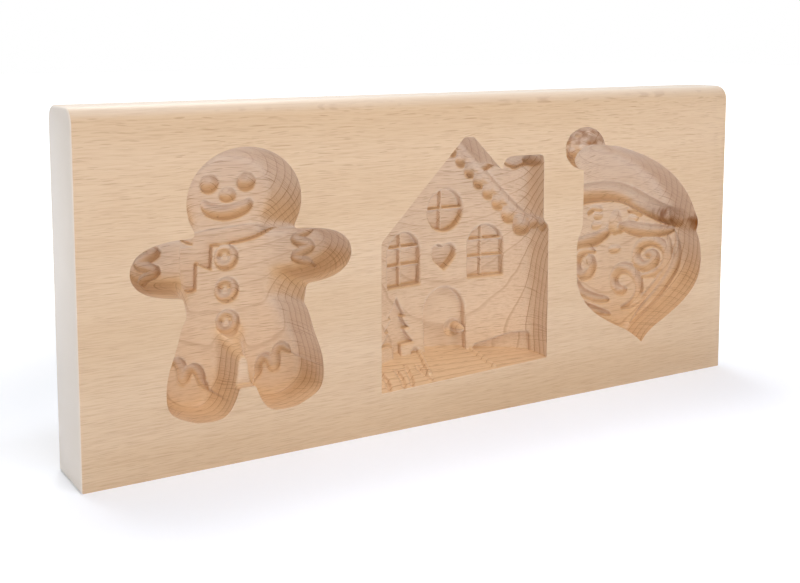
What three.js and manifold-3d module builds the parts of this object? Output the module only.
// A carved gingerbread mould: one beech board, standing on its long edge, with three hollows
// in its front face. From the left they are a gingerbread man, a gabled house and a bearded
// head in a bobble cap. Every feature of a picture is cut deeper than the ground round it,
// so that it stands up on the baked biscuit.
// Millimetres. X runs along the board, Z up and Y from the front face to the back.
import * as THREE from 'three';
import { mergeVertices, toCreasedNormals } from 'three/addons/utils/BufferGeometryUtils.js';
import Module from 'manifold-3d';

const wasm = await Module();
wasm.setup();

// Layout of the face
const LEFT_MARGIN = 14.3; // board's left end to the man's hand
const MAN_HOUSE_GAP = 9.9;
const HOUSE_HEAD_GAP = 6.5; // house wall to the bobble
const RIGHT_MARGIN = 10.5;
const BOARD_HEIGHT = 100; // 12 mm of wood are left above the tallest picture
const BOTTOM_MARGIN = 12; // lower edge to the ground line of the house
const CARVING_DEPTH = 14; // face to the floor at the middle of each picture
const BACK_WOOD = 6.5; // floor to the back of the board
const TOP_EDGE_ROUND = 4.5; // the upper long edges are rounded front and back
const LOWER_EDGE_EASE = 0.6;

// Gingerbread man, measured from its middle line and from the soles
const MAN_LIFT = 1.2; // soles above the ground line
const MAN_DOME_ACROSS = 100; // the floor is part of an egg shape of this width and height
const MAN_DOME_TALL = 124;
const MAN_DOME_HEIGHT = 38;
const WALL_FULLNESS = 1.35; // the walls of head, body and limbs curve in towards this much depth
const ARM_SPAN = 65.8;
const ARM_RADIUS = 8.3;
const ARM_HEIGHT = 43;
const ARM_BLUNTNESS = 5.5; // power of the spindle: 2 is an ellipse, more is blunter
const MAN_HEAD_WIDTH = 34;
const MAN_HEAD_TALL = 30;
const MAN_HEAD_HEIGHT = 59.8;
const NECK_WIDTH = 29;
const NECK_TALL = 26;
const NECK_HEIGHT = 50;
const TORSO_WIDTH = 36.4;
const TORSO_TALL = 39;
const TORSO_HEIGHT = 35.5;
const LEG_SPREAD = 15.2; // middle line to the middle of a sole
const LEG_TILT = 13; // degrees outwards
const LEG_LENGTH = 38.5;
const FOOT_RADIUS = 11;
const ANKLE_RADIUS = 10.3;
const THIGH_RADIUS = 8.8;
const CROTCH_LEDGE_DEPTH = 3.2;
const CROTCH_LEDGE_LOW = 7.8;
const CROTCH_LEDGE_HIGH = 22;
const MAN_EYE_RADIUS = 2.7;
const MAN_EYE_SPREAD = 5.5;
const MAN_EYE_HEIGHT = 63.4;
const MAN_NOSE_RADIUS = 2.2;
const MAN_NOSE_HEIGHT = 59.8;
const MAN_FACE_PIT = 1.8; // how far the eyes and the nose go below the floor
const SMILE_WIDTH = 14.6;
const SMILE_HEIGHT = 57.6; // its corners
const SMILE_DROP = 4.4;
const SMILE_RADIUS = 1.7;
const ICING_DEPTH = 1.1; // the mitts and boots below the limbs
const CUFF_SPREAD = 23.6; // the edge of a mitt has two lobes towards the body
const CUFF_WAVE = 2.3;
const CUFF_PITCH = 5.4;
// The upper edge of a boot, from the inner side outwards, as [across, up]
const BOOT_EDGE = [[3, 2.2], [6.7, 5.1], [8.8, 8.6], [10.6, 11.5], [12.6, 10.6], [13.9, 8.9],
  [14.5, 12.4], [16.6, 14.3], [19.2, 12.2], [22, 10.6], [28, 9.4]];
const SCARF_HEIGHT = 49; // its two pointed ends
const SCARF_REACH = 14.6;
const SCARF_RISE = 1.3; // its upper edge above the ends
const SCARF_DROP = 3.2; // its lower edge below the ends
const SCARF_DEPTH = 1.6;
const SCARF_TAIL_WIDTH = 4.7;
const SCARF_TAIL_LENGTH = 9;
const SCARF_TAIL_OFFSET = 4.9; // right side of the first tail, left of the middle line
const SCARF_TAIL_DROP = 5.1; // the second tail below the first
const SCARF_TAIL_SLANT = 1.6;
const BUTTON_RADIUS = 3.5;
const BUTTON_DEPTH = 1.5;
const BUTTON_COUNT = 3;
const BUTTON_PITCH = 9.4;
const TOP_BUTTON_HEIGHT = 42;
const BUTTON_EYE_RADIUS = 0.6;
const BUTTON_EYE_SPREAD = 1.2;

// House, measured from its middle line and from the ground line
const HOUSE_WIDTH = 61.8;
const EAVES_HEIGHT = 45.5;
const ROOF_PITCH = 44.4; // degrees
const RIDGE_FLAT = 3.4; // the blunt tip of the gable
const GROUND_RISE = 2; // the ground line climbs by this to the right
const GROUND_SLOPE_RISE = 5; // the ground climbs by this from the face to the floor
const HOUSE_DOME_ACROSS = 86; // the floor is part of an egg shape of this width and height
const HOUSE_DOME_TALL = 124;
const HOUSE_DOME_HEIGHT = 34;
const CHIMNEY_LEFT = 12.9;
const CHIMNEY_WIDTH = 15.9;
const CHIMNEY_TOP = 68.5;
const CHIMNEY_ROUND = 3.2;
const CHIMNEY_CAP_TALL = 3.8;
const CHIMNEY_CAP_DEPTH = 1.1;
const ROOF_BAND_INSET = 0.6;
const ROOF_BAND_WIDTH = 2.4;
const ROOF_BAND_DEPTH = 1.5;
const SCALLOP_PITCH = 5.3;
const SCALLOP_RADIUS = 2.3;
const PANE_DEPTH = 2;
const WINDOW_WIDTH = 14;
const WINDOW_TALL = 16.2;
const WINDOW_SILL_HEIGHT = 28.6;
const WINDOW_SPREAD = 15.9;
const WINDOW_BAR = 0.9;
const WINDOW_ROWS = 3;
const ROSE_RADIUS = 6.9; // the round window in the gable
const ROSE_HEIGHT = 50.4;
const HEART_WIDTH = 9;
const HEART_TALL = 8;
const HEART_HEIGHT = 36;
const HEART_DEPTH = 2.2;
const DOOR_WIDTH = 16;
const DOOR_TOP = 25.9;
const DOOR_DEPTH = 1.5;
const KNOB_RADIUS = 1.5;
const KNOB_RING = 1.3;
const KNOB_HEIGHT = 12.4;
const KNOB_OFFSET = 5.2;
const FIR_OFFSET = 17.8; // left of the middle line
const FIR_TIP_HEIGHT = 24.4;
const FIR_TIER_TALL = 5.4;
const FIR_TIERS = 3;
const FIR_TOP_TIER_WIDTH = 6.4;
const FIR_TIER_STEP = 2.9; // each tier is wider than the one above it by this
const FIR_NOTCH = 1.5;
const FIR_DEPTH = 1.3;

// Bearded head, measured from its middle line and from the tip of the beard
const HEAD_LIFT = 1.7;
const HEAD_REACH_LEFT = 33.2; // middle line to the left side of the bobble
const HEAD_REACH_RIGHT = 28;
const BEARD_LEFT = 28;
const CAP_LEFT = 25.6;
const CAP_TOP = 68.3;
const CAP_TEMPLE = [20, 54]; // the cap's outline is drawn towards these two places
const CAP_CROWN = [10, 62.5];
const HEAD_DOME_ACROSS = 72;
const HEAD_DOME_TALL = 98;
const HEAD_DOME_HEIGHT = 34;
const BOBBLE_RADIUS = 8;
const BOBBLE_HEIGHT = 66.3;
const BOBBLE_DEPTH = 6.8;
const CAP_DEPTH = 1.2;
const BRIM_RADIUS = 2.9;
const BRIM_SINK = 0.3;
const EYE_RADIUS = 2;
const EYE_SPREAD = 8.6;
const EYE_HEIGHT = 41.5;
const NOSE_WIDTH = 7;
const NOSE_TALL = 8.6;
const NOSE_HEIGHT = 39.5;
const NOSE_DEPTH = 1.6;
const MOUTH_WIDTH = 5;
const MOUTH_TALL = 2.6;
const MOUTH_HEIGHT = 30.2;
const MOUTH_DEPTH = 1.4;
const LOCK_RADIUS = 1.7; // the round gouge that cut moustache and beard
const LOCK_SINK = 0.5;
const GOUGE_BLUNTNESS = 8; // how suddenly a gouged channel runs out at its ends
const CURL_TURNS = 1.35;
const LEFT_CURL_RADIUS = 4.6;
const RIGHT_CURL_RADIUS = 5.8;
const LOWER_CURL_RADIUS = 5.2;
const CURL_OFFSET = 13.4;
const CURL_HEIGHT = 25.6;
const LOWER_CURL_OFFSET = 4.4;
const LOWER_CURL_HEIGHT = 16.8;
const LEFT_CURL_START = 200; // degrees from the right, where a curl's outer end lies
const RIGHT_CURL_START = 10;
const LOWER_CURL_START = 160;

// Fineness of the facets
const PROUD = 2; // how far a cutting shape stands out of the face
const CURVE_STEPS = 7;
const DOME_SIDES = 34;
const DOME_RINGS = 16;
const LIMB_SIDES = 20;
const BEAD_SIDES = 14;
const BEAD_RINGS = 8;
const LOCK_SIDES = 10;
const LOCK_STEPS = 12;
const CURL_STEPS = 20;

// Sizes that follow from the ones above
const HALF_HOUSE = HOUSE_WIDTH / 2;
const PITCH = THREE.MathUtils.degToRad(ROOF_PITCH);
const CREASE = THREE.MathUtils.degToRad(25); // shading breaks at edges sharper than this
const HOUSE_TOP = EAVES_HEIGHT + (HALF_HOUSE - RIDGE_FLAT / 2) * Math.tan(PITCH);
const BOARD_THICKNESS = CARVING_DEPTH + BACK_WOOD;
const MAN_X = LEFT_MARGIN + ARM_SPAN / 2;
const HOUSE_X = MAN_X + ARM_SPAN / 2 + MAN_HOUSE_GAP + HALF_HOUSE;
const HEAD_X = HOUSE_X + HALF_HOUSE + HOUSE_HEAD_GAP + HEAD_REACH_LEFT;
const BOARD_LENGTH = HEAD_X + HEAD_REACH_RIGHT + RIGHT_MARGIN;

// Points and corners of faces as a solid that can be joined and cut.
function solidFrom(vertProperties, triVerts) {
  return new wasm.Manifold(new wasm.Mesh({ numProp: 3, vertProperties, triVerts }));
}

// A closed geometry as such a solid.
function solid(geometry) {
  const bare = geometry.clone();
  bare.deleteAttribute('normal');
  bare.deleteAttribute('uv');
  const merged = mergeVertices(bare, 1e-4);
  return solidFrom(new Float32Array(merged.attributes.position.array), new Uint32Array(merged.index.array));
}

function geometryOf(made) {
  const mesh = made.getMesh();
  const geometry = new THREE.BufferGeometry();
  geometry.setAttribute('position', new THREE.BufferAttribute(mesh.vertProperties, 3));
  geometry.setIndex(new THREE.BufferAttribute(mesh.triVerts, 1));
  return geometry;
}

// A solid moved along the board and up it.
function moved(made, x, z) {
  const geometry = geometryOf(made).translate(x, 0, z);
  return solidFrom(geometry.attributes.position.array, geometry.index.array);
}

const join = (...solids) => solids.reduce((all, next) => all.add(next));

// Draws an outline on the face, x to the right and y up, from a list of corners.
const outlineOf = (...corners) => new THREE.Shape(corners.map(([x, z]) => new THREE.Vector2(x, z)));

// An outline pressed straight into the board to a depth, and turned and moved on the face.
function pressed(shape, depth, place = new THREE.Matrix4()) {
  const geometry = new THREE.ExtrudeGeometry(shape, {
    depth: depth + PROUD,
    bevelEnabled: false,
    curveSegments: CURVE_STEPS,
  });
  geometry.rotateX(Math.PI / 2);
  geometry.translate(0, depth, 0);
  return solid(geometry.applyMatrix4(place));
}

// Half an egg, sunk into the face.
function bowl({ x = 0, z, width, tall, depth, sides = DOME_SIDES, rings = DOME_RINGS }) {
  const geometry = new THREE.SphereGeometry(1, sides, rings);
  geometry.scale(width / 2, depth, tall / 2);
  geometry.translate(x, 0, z);
  return solid(geometry);
}

// A small round pit whose widest place lies on the floor.
function pit(x, z, floor, width, tall, depth) {
  const geometry = new THREE.SphereGeometry(1, BEAD_SIDES, BEAD_RINGS);
  geometry.scale(width / 2, depth, tall / 2);
  geometry.translate(x, floor, z);
  return solid(geometry);
}

// A straight-sided round hole into the face, and turned and moved on the face.
function drilled(x, z, radius, from, to, place = new THREE.Matrix4()) {
  const geometry = new THREE.CylinderGeometry(radius, radius, to - from, BEAD_SIDES);
  geometry.translate(x, (from + to) / 2, z);
  return solid(geometry.applyMatrix4(place));
}

// A channel left by a round gouge along a path of points [x, depth, z]. Its ends run out round.
function gouged(points, radius, steps) {
  const path = new THREE.CatmullRomCurve3(points.map((point) => new THREE.Vector3(...point)));
  const frames = path.computeFrenetFrames(steps);
  const profile = Array.from({ length: steps + 1 }, (_, i) => {
    const swell = Math.sqrt(1 - Math.abs(2 * i / steps - 1) ** GOUGE_BLUNTNESS);
    return new THREE.Vector2(radius * swell, i);
  });
  const geometry = new THREE.LatheGeometry(profile, LOCK_SIDES);
  const { position } = geometry.attributes;
  for (let i = 0; i < position.count; i++) {
    const step = Math.round(position.getY(i));
    const place = path.getPointAt(step / steps)
      .addScaledVector(frames.normals[step], position.getX(i))
      .addScaledVector(frames.binormals[step], -position.getZ(i));
    position.setXYZ(i, place.x, place.y, place.z);
  }
  return solid(geometry);
}

// The depth of half an egg at a place on the face.
function depthOn({ z: middle, width, tall, depth }, x, z) {
  const share = 1 - (2 * x / width) ** 2 - (2 * (z - middle) / tall) ** 2;
  return depth * Math.sqrt(Math.max(share, 0));
}

// A turned shape, given by its profile of [radius, distance along], lying on the face.
function turned(profile, tilt, x, z, depth) {
  const points = profile.map(([radius, along]) => new THREE.Vector2(radius, along));
  const widest = Math.max(...profile.map(([radius]) => radius));
  const geometry = new THREE.LatheGeometry(points, LIMB_SIDES);
  geometry.rotateX(Math.PI / 2);
  geometry.scale(1, depth / widest, 1);
  geometry.rotateY(THREE.MathUtils.degToRad(tilt));
  geometry.translate(x, 0, z);
  return solid(geometry);
}

// Gingerbread man
const manEgg = {
  z: MAN_DOME_HEIGHT, width: MAN_DOME_ACROSS, tall: MAN_DOME_TALL, depth: CARVING_DEPTH,
};
const manBowls = [
  { z: MAN_HEAD_HEIGHT, width: MAN_HEAD_WIDTH, tall: MAN_HEAD_TALL },
  { z: NECK_HEIGHT, width: NECK_WIDTH, tall: NECK_TALL },
  { z: TORSO_HEIGHT, width: TORSO_WIDTH, tall: TORSO_TALL },
];

// The depth of the floor at a place in the head, the neck or the body.
function manFloor(x, z) {
  const depth = CARVING_DEPTH * WALL_FULLNESS;
  const walls = manBowls.map((part) => depthOn({ ...part, depth }, x, z));
  return Math.min(depthOn(manEgg, x, z), Math.max(...walls));
}

// Both arms as one spindle from fingertip to fingertip.
function arms(depth) {
  const rings = 2 * CURVE_STEPS;
  const profile = Array.from({ length: rings + 1 }, (_, i) => {
    const share = -Math.cos(Math.PI * i / rings);
    const radius = ARM_RADIUS * Math.sqrt(1 - Math.abs(share) ** ARM_BLUNTNESS);
    return [radius, share * ARM_SPAN / 2];
  });
  return turned(profile, 90, 0, ARM_HEIGHT, depth);
}

function leg(side, depth) {
  const outline = new THREE.SplineCurve([
    [0, 0], [FOOT_RADIUS * 0.75, LEG_LENGTH * 0.06], [FOOT_RADIUS, LEG_LENGTH * 0.26],
    [ANKLE_RADIUS, LEG_LENGTH * 0.5], [THIGH_RADIUS, LEG_LENGTH * 0.75], [0, LEG_LENGTH],
  ].map(([radius, along]) => new THREE.Vector2(radius, along)));
  const profile = outline.getPoints(2 * CURVE_STEPS).map((point) => [Math.max(point.x, 0), point.y]);
  return turned(profile, -side * LEG_TILT, side * LEG_SPREAD, 0, depth);
}

function manBody(extra) {
  const depth = CARVING_DEPTH + extra;
  const wallDepth = depth * WALL_FULLNESS;
  return join(
    ...manBowls.map((part) => bowl({ ...part, depth: wallDepth })),
    arms(wallDepth),
    leg(-1, wallDepth),
    leg(1, wallDepth),
  ).intersect(bowl({ ...manEgg, depth }));
}

// The iced end of an arm, from its wavy edge outwards.
function mitt(side) {
  const span = 2.4 * ARM_RADIUS;
  const steps = 4 * CURVE_STEPS;
  const edge = Array.from({ length: steps + 1 }, (_, i) => {
    const along = span * (i / steps - 0.5);
    const wave = Math.abs(along) < CUFF_PITCH ? Math.cos(2 * Math.PI * along / CUFF_PITCH) : 1;
    return [side * (CUFF_SPREAD + CUFF_WAVE * wave), ARM_HEIGHT + along];
  });
  const far = side * ARM_SPAN;
  return outlineOf(...edge, [far, ARM_HEIGHT + span / 2], [far, ARM_HEIGHT - span / 2]);
}

// The iced end of a leg, from its wavy edge down.
function boot(side) {
  const path = new THREE.SplineCurve(BOOT_EDGE.map(([x, z]) => new THREE.Vector2(side * x, z)));
  const edge = path.getPoints(5 * CURVE_STEPS).map((point) => [point.x, point.y]);
  const outer = side * (LEG_SPREAD + 2 * FOOT_RADIUS);
  return outlineOf(...edge, [outer, edge.at(-1)[1]], [outer, -FOOT_RADIUS], [edge[0][0], -FOOT_RADIUS]);
}

function scarf() {
  const low = SCARF_HEIGHT - SCARF_DROP;
  const band = new THREE.Shape();
  band.moveTo(-SCARF_REACH, SCARF_HEIGHT);
  band.quadraticCurveTo(0, SCARF_HEIGHT + 2 * SCARF_RISE, SCARF_REACH, SCARF_HEIGHT);
  band.quadraticCurveTo(0, SCARF_HEIGHT - 2 * SCARF_DROP, -SCARF_REACH, SCARF_HEIGHT);
  const tails = [0, 1].map((i) => {
    const right = -SCARF_TAIL_OFFSET - i * SCARF_TAIL_WIDTH;
    const left = right - SCARF_TAIL_WIDTH;
    const start = low + SCARF_DROP - i * SCARF_TAIL_DROP;
    const end = start - SCARF_TAIL_LENGTH;
    return outlineOf([left, start], [left, end], [right, end + SCARF_TAIL_SLANT], [right, start]);
  });
  const depth = CARVING_DEPTH + SCARF_DEPTH;
  const cloth = [band, ...tails].map((shape) => pressed(shape, depth));
  return join(...cloth).intersect(manBody(SCARF_DEPTH));
}

function smile() {
  const reach = SMILE_WIDTH / 2;
  const places = [-1, -0.5, 0, 0.5, 1].map((share) => (
    [share * reach, SMILE_HEIGHT - SMILE_DROP * (1 - share ** 2)]
  ));
  return gouged(places.map(([x, z]) => [x, manFloor(x, z), z]), SMILE_RADIUS, LOCK_STEPS);
}

function button(index) {
  const z = TOP_BUTTON_HEIGHT - index * BUTTON_PITCH;
  const floor = manFloor(0, z);
  const disc = drilled(0, z, BUTTON_RADIUS, 0, floor + BUTTON_DEPTH);
  const eyes = [-1, 1].map((side) => (
    drilled(side * BUTTON_EYE_SPREAD, z, BUTTON_EYE_RADIUS, floor + BUTTON_DEPTH / 3, 2 * CARVING_DEPTH)
  ));
  return disc.subtract(join(...eyes));
}

function gingerbreadMan() {
  const iced = [-1, 1].flatMap((side) => [mitt(side), boot(side)])
    .map((shape) => pressed(shape, CARVING_DEPTH + ICING_DEPTH));
  const ledge = outlineOf(
    [-LEG_SPREAD / 2, CROTCH_LEDGE_LOW], [LEG_SPREAD / 2, CROTCH_LEDGE_LOW],
    [LEG_SPREAD / 4, CROTCH_LEDGE_HIGH], [-LEG_SPREAD / 4, CROTCH_LEDGE_HIGH],
  );
  const eyes = [-1, 1].map((side) => {
    const x = side * MAN_EYE_SPREAD;
    const size = 2 * MAN_EYE_RADIUS;
    return pit(x, MAN_EYE_HEIGHT, manFloor(x, MAN_EYE_HEIGHT), size, size, MAN_FACE_PIT);
  });
  const nose = pit(0, MAN_NOSE_HEIGHT, manFloor(0, MAN_NOSE_HEIGHT), 2 * MAN_NOSE_RADIUS,
    2 * MAN_NOSE_RADIUS, MAN_FACE_PIT);
  const buttons = Array.from({ length: BUTTON_COUNT }, (_, index) => button(index));
  return join(
    manBody(0),
    join(...iced).intersect(manBody(ICING_DEPTH)),
    pressed(ledge, CROTCH_LEDGE_DEPTH),
    scarf(),
    smile(),
    nose,
    ...eyes,
    ...buttons,
  );
}

// House
const houseEgg = {
  z: HOUSE_DOME_HEIGHT, width: HOUSE_DOME_ACROSS, tall: HOUSE_DOME_TALL, depth: CARVING_DEPTH,
};

// A shape on the house front, cut to a depth below the domed floor.
function onHouse(shape, extra) {
  const depth = CARVING_DEPTH + extra;
  return pressed(shape, depth).intersect(bowl({ ...houseEgg, depth }));
}

function archShape(width, low, top, middle = 0) {
  const half = width / 2;
  const shape = new THREE.Shape();
  shape.moveTo(middle - half, low);
  shape.lineTo(middle + half, low);
  shape.lineTo(middle + half, top - half);
  shape.absarc(middle, top - half, half, 0, Math.PI);
  return shape;
}

function houseFront() {
  const wall = outlineOf(
    [-HALF_HOUSE, 0], [HALF_HOUSE, GROUND_RISE], [HALF_HOUSE, EAVES_HEIGHT],
    [RIDGE_FLAT / 2, HOUSE_TOP], [-RIDGE_FLAT / 2, HOUSE_TOP], [-HALF_HOUSE, EAVES_HEIGHT],
  );
  const left = CHIMNEY_LEFT;
  const right = left + CHIMNEY_WIDTH;
  const small = CHIMNEY_ROUND / 2;
  const chimney = new THREE.Shape();
  chimney.moveTo(left, EAVES_HEIGHT);
  chimney.lineTo(right, EAVES_HEIGHT);
  chimney.lineTo(right, CHIMNEY_TOP - small);
  chimney.absarc(right - small, CHIMNEY_TOP - small, small, 0, Math.PI / 2);
  chimney.lineTo(left + CHIMNEY_ROUND, CHIMNEY_TOP);
  const big = CHIMNEY_ROUND;
  chimney.absarc(left + big, CHIMNEY_TOP - big, big, Math.PI / 2, Math.PI);
  const capLow = CHIMNEY_TOP - CHIMNEY_CAP_TALL;
  const cap = new THREE.Shape();
  cap.moveTo(left, CHIMNEY_TOP);
  cap.lineTo(left, capLow);
  const third = CHIMNEY_WIDTH / 3;
  cap.quadraticCurveTo(left + third, capLow + CHIMNEY_CAP_TALL, left + 2 * third, capLow);
  cap.lineTo(right, capLow);
  cap.lineTo(right, CHIMNEY_TOP);
  const capped = onHouse(cap, CHIMNEY_CAP_DEPTH).intersect(onHouse(chimney, CHIMNEY_CAP_DEPTH));
  return join(onHouse(wall, 0), onHouse(chimney, 0), capped);
}

// The ground runs up from the lower edge of the hollow to the foot of the front.
function groundWedge() {
  const shape = outlineOf([-PROUD, -PROUD * 2], [0, 0], [CARVING_DEPTH, GROUND_SLOPE_RISE],
    [2 * CARVING_DEPTH, 2 * GROUND_SLOPE_RISE], [2 * CARVING_DEPTH, -PROUD * 2]);
  const geometry = new THREE.ExtrudeGeometry(shape, { depth: 2 * HOUSE_WIDTH, bevelEnabled: false });
  geometry.rotateX(Math.PI / 2);
  geometry.rotateZ(Math.PI / 2);
  geometry.translate(-HOUSE_WIDTH, 0, 0);
  geometry.rotateY(-Math.atan2(GROUND_RISE, HOUSE_WIDTH));
  geometry.translate(0, 0, GROUND_RISE / 2);
  return solid(geometry);
}

// Icing along one roof slope: a straight band with a row of scallops under it.
function slopeIcing(side, depth) {
  const length = (HALF_HOUSE - RIDGE_FLAT / 2) / Math.cos(PITCH);
  const count = Math.floor(length / SCALLOP_PITCH);
  const low = -ROOF_BAND_INSET - ROOF_BAND_WIDTH;
  const end = side * length;
  const place = new THREE.Matrix4().makeRotationY(side * PITCH);
  place.setPosition(side * RIDGE_FLAT / 2, 0, HOUSE_TOP);
  const band = outlineOf([0, -ROOF_BAND_INSET], [0, low], [end, low], [end, -ROOF_BAND_INSET]);
  const scallops = Array.from({ length: count }, (_, i) => (
    drilled((i + 0.5) * end / count, low, SCALLOP_RADIUS, 0, depth, place)
  ));
  return join(pressed(band, depth, place), ...scallops);
}

function roofIcing() {
  const depth = CARVING_DEPTH + ROOF_BAND_DEPTH;
  return join(slopeIcing(-1, depth), slopeIcing(1, depth)).intersect(bowl({ ...houseEgg, depth }));
}

// Panes of a window, with the bars between them left standing.
function panes(shape, bars) {
  return onHouse(shape, PANE_DEPTH).subtract(join(...bars));
}

function bar(x, z, width, tall) {
  const geometry = new THREE.BoxGeometry(width, 4 * CARVING_DEPTH, tall);
  geometry.translate(x, 0, z);
  return solid(geometry);
}

function archedWindow(side) {
  const middle = side * WINDOW_SPREAD;
  const top = WINDOW_SILL_HEIGHT + WINDOW_TALL;
  const rows = Array.from({ length: WINDOW_ROWS - 1 }, (_, i) => (
    bar(middle, WINDOW_SILL_HEIGHT + (i + 1) * WINDOW_TALL / WINDOW_ROWS, WINDOW_WIDTH, WINDOW_BAR)
  ));
  return panes(
    archShape(WINDOW_WIDTH, WINDOW_SILL_HEIGHT, top, middle),
    [bar(middle, top, WINDOW_BAR, 2 * WINDOW_TALL), ...rows],
  );
}

function roseWindow() {
  const circle = new THREE.Shape().absarc(0, ROSE_HEIGHT, ROSE_RADIUS, 0, 2 * Math.PI);
  return panes(circle, [
    bar(0, ROSE_HEIGHT, WINDOW_BAR, 2 * ROSE_RADIUS),
    bar(0, ROSE_HEIGHT, 2 * ROSE_RADIUS, WINDOW_BAR),
  ]);
}

function heart() {
  const half = HEART_WIDTH / 2;
  const low = HEART_HEIGHT - HEART_TALL / 2;
  const shoulder = HEART_HEIGHT + HEART_TALL / 4;
  const dip = HEART_HEIGHT + HEART_TALL / 4;
  const top = HEART_HEIGHT + HEART_TALL * 0.75;
  const shape = new THREE.Shape();
  shape.moveTo(0, low);
  shape.quadraticCurveTo(half, HEART_HEIGHT - HEART_TALL / 4, half, shoulder);
  shape.bezierCurveTo(half, top, 0, top, 0, dip);
  shape.bezierCurveTo(0, top, -half, top, -half, shoulder);
  shape.quadraticCurveTo(-half, HEART_HEIGHT - HEART_TALL / 4, 0, low);
  return onHouse(shape, HEART_DEPTH);
}

function door() {
  const floor = depthOn(houseEgg, KNOB_OFFSET, KNOB_HEIGHT) + DOOR_DEPTH;
  const ring = drilled(KNOB_OFFSET, KNOB_HEIGHT, KNOB_RADIUS + KNOB_RING, 0, floor + KNOB_RING);
  const knob = drilled(KNOB_OFFSET, KNOB_HEIGHT, KNOB_RADIUS, floor - KNOB_RING, floor + 2 * KNOB_RING);
  return join(onHouse(archShape(DOOR_WIDTH, GROUND_RISE, DOOR_TOP), DOOR_DEPTH), ring).subtract(knob);
}

function firTree() {
  const right = [];
  for (let tier = 0; tier < FIR_TIERS; tier++) {
    const z = FIR_TIP_HEIGHT - (tier + 1) * FIR_TIER_TALL;
    const half = (FIR_TOP_TIER_WIDTH + tier * FIR_TIER_STEP) / 2;
    right.push([half, z], [half - FIR_NOTCH, z]);
  }
  const left = right.map(([x, z]) => [-x, z]).reverse();
  const place = ([x, z]) => [x - FIR_OFFSET, z];
  return onHouse(outlineOf(...[[0, FIR_TIP_HEIGHT], ...right, ...left].map(place)), FIR_DEPTH);
}

function house() {
  return join(
    houseFront(),
    roofIcing(),
    archedWindow(-1),
    archedWindow(1),
    roseWindow(),
    heart(),
    door(),
    firTree(),
  ).subtract(groundWedge());
}

// Bearded head
const headEgg = {
  z: HEAD_DOME_HEIGHT, width: HEAD_DOME_ACROSS, tall: HEAD_DOME_TALL, depth: CARVING_DEPTH,
};

function onHead(shape, extra) {
  const depth = CARVING_DEPTH + extra;
  return pressed(shape, depth).intersect(bowl({ ...headEgg, depth }));
}

// The whole head: cap, cheeks and a beard that ends in a point.
function headShape() {
  const right = HEAD_REACH_RIGHT;
  const shape = new THREE.Shape();
  shape.moveTo(-CAP_LEFT, CAP_TOP - 6);
  shape.lineTo(-CAP_LEFT, 44);
  shape.bezierCurveTo(-CAP_LEFT, 40, -BEARD_LEFT, 40, -BEARD_LEFT, 35);
  shape.lineTo(-BEARD_LEFT, 27);
  shape.bezierCurveTo(-BEARD_LEFT, 15, -16, 10, -6.5, 5.5);
  shape.quadraticCurveTo(-2, 3, 1, 0);
  shape.quadraticCurveTo(4, 4, 9, 6);
  shape.bezierCurveTo(20, 11.5, right, 16, right, 25.5);
  shape.quadraticCurveTo(right, 32, right - 2.7, 36.3);
  shape.quadraticCurveTo(right - 1, 39.5, right - 3, 42.3);
  shape.bezierCurveTo(...CAP_TEMPLE, ...CAP_CROWN, -11.5, CAP_TOP - 0.5);
  shape.lineTo(-17, CAP_TOP);
  return shape;
}

// The lower edge of the cap, from temple to temple.
const BRIM = [[-34, 45], [-13, 50.3], [1, 49.6], [12, 44.6], [22, 38.6], [36, 33.5]];

function capShape() {
  const shape = new THREE.Shape();
  shape.moveTo(...BRIM[0]);
  shape.splineThru(BRIM.slice(1).map(([x, z]) => new THREE.Vector2(x, z)));
  shape.lineTo(HEAD_REACH_RIGHT + PROUD, CAP_TOP + PROUD);
  shape.lineTo(-HEAD_REACH_LEFT, CAP_TOP + PROUD);
  return shape;
}

// A gouged lock of hair whose path is given on the face and follows the domed floor.
function lock(points, steps, radius = LOCK_RADIUS, sink = LOCK_SINK) {
  return gouged(points.map(([x, z]) => [x, depthOn(headEgg, x, z) + sink, z]), radius, steps);
}

// A curl that winds in to its middle. Turn is the angle, in degrees, at which it starts.
function curl(x, z, radius, hand, turn) {
  const points = [];
  for (let i = 0; i <= CURL_STEPS / 2; i++) {
    const share = i / (CURL_STEPS / 2);
    const angle = THREE.MathUtils.degToRad(turn) + hand * share * CURL_TURNS * 2 * Math.PI;
    const reach = radius * (1 - 0.72 * share);
    points.push([x + reach * Math.cos(angle), z + reach * Math.sin(angle)]);
  }
  return lock(points, CURL_STEPS);
}

function hair() {
  const side = CURL_OFFSET + RIGHT_CURL_RADIUS;
  const moustache = [
    [[3.2, 38.6], [8, 36.9], [14, 35.6], [20, 35.1], [25, 35.4]],
    [[-1.5, 37], [-6, 34.9], [-12, 34], [-18, 33.8], [-23, 34.6]],
  ];
  const beard = [
    [[side + 3, 28], [side + 1, 19], [side - 6, 13], [5, 6]],
    [[-side - 1, 26], [-side, 20], [-side + 5, 14], [-2, 7]],
    [[side - 1, 17], [side - 8, 12.5], [3, 5]],
  ];
  return join(
    ...moustache.map((path) => lock(path, LOCK_STEPS, LOCK_RADIUS * 1.2)),
    ...beard.map((path) => lock(path, LOCK_STEPS)),
    curl(-CURL_OFFSET, CURL_HEIGHT, LEFT_CURL_RADIUS, -1, LEFT_CURL_START),
    curl(CURL_OFFSET, CURL_HEIGHT, RIGHT_CURL_RADIUS, 1, RIGHT_CURL_START),
    curl(LOWER_CURL_OFFSET, LOWER_CURL_HEIGHT, LOWER_CURL_RADIUS, -1, LOWER_CURL_START),
  );
}

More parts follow.
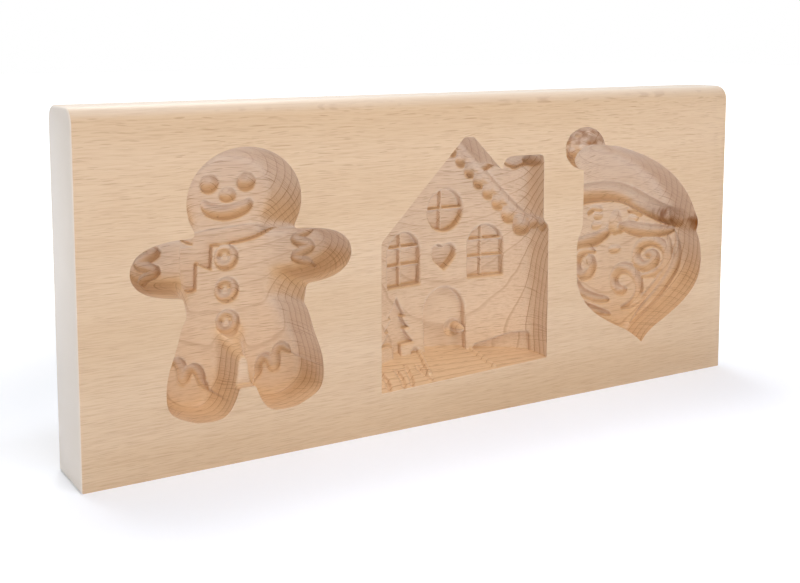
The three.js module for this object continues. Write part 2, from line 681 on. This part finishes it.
function face() {
  const below = (x, z, width, tall, depth) => pit(x, z, depthOn(headEgg, x, z), width, tall, depth);
  return join(
    below(-EYE_SPREAD, EYE_HEIGHT, 2 * EYE_RADIUS, 2 * EYE_RADIUS, EYE_RADIUS / 2),
    below(EYE_SPREAD, EYE_HEIGHT, 2 * EYE_RADIUS, 2 * EYE_RADIUS, EYE_RADIUS / 2),
    below(0, NOSE_HEIGHT, NOSE_WIDTH, NOSE_TALL, NOSE_DEPTH),
    below(0, MOUTH_HEIGHT, MOUTH_WIDTH, MOUTH_TALL, MOUTH_DEPTH),
  );
}

function beardedHead() {
  const brim = lock(BRIM, 2 * LOCK_STEPS, BRIM_RADIUS, BRIM_SINK);
  const bobble = bowl({
    x: BOBBLE_RADIUS - HEAD_REACH_LEFT, z: BOBBLE_HEIGHT,
    width: 2 * BOBBLE_RADIUS, tall: 2 * BOBBLE_RADIUS, depth: BOBBLE_DEPTH,
    sides: LIMB_SIDES, rings: DOME_RINGS / 2,
  });
  const inside = pressed(headShape(), 2 * CARVING_DEPTH);
  const cap = onHead(capShape(), CAP_DEPTH);
  const relief = join(onHead(headShape(), 0), cap, brim, hair(), face()).intersect(inside);
  return join(relief, bobble);
}

// The plank, drawn as its end section and run along its length.
function plank() {
  const shape = new THREE.Shape();
  const ease = LOWER_EDGE_EASE;
  const round = TOP_EDGE_ROUND;
  shape.moveTo(0, ease);
  shape.lineTo(ease, 0);
  shape.lineTo(BOARD_THICKNESS - ease, 0);
  shape.lineTo(BOARD_THICKNESS, ease);
  shape.lineTo(BOARD_THICKNESS, BOARD_HEIGHT - round);
  shape.absarc(BOARD_THICKNESS - round, BOARD_HEIGHT - round, round, 0, Math.PI / 2);
  shape.lineTo(round, BOARD_HEIGHT);
  shape.absarc(round, BOARD_HEIGHT - round, round, Math.PI / 2, Math.PI);
  const geometry = new THREE.ExtrudeGeometry(shape, {
    depth: BOARD_LENGTH, bevelEnabled: false, curveSegments: CURVE_STEPS,
  });
  geometry.rotateX(Math.PI / 2);
  geometry.rotateZ(Math.PI / 2);
  return solid(geometry);
}

const carved = plank()
  .subtract(moved(gingerbreadMan(), MAN_X, BOTTOM_MARGIN + MAN_LIFT))
  .subtract(moved(house(), HOUSE_X, BOTTOM_MARGIN))
  .subtract(moved(beardedHead(), HEAD_X, BOTTOM_MARGIN + HEAD_LIFT));

const beech = new THREE.MeshStandardMaterial({ color: 0xdcbd9b, roughness: 0.62, metalness: 0 });

const board = new THREE.Mesh(toCreasedNormals(geometryOf(carved), CREASE), beech);
board.name = 'mould_board';
board.position.set(-BOARD_LENGTH / 2, -BOARD_THICKNESS / 2, 0);

const mould = new THREE.Group();
mould.name = 'gingerbread_mould';
mould.add(board);

export default mould;
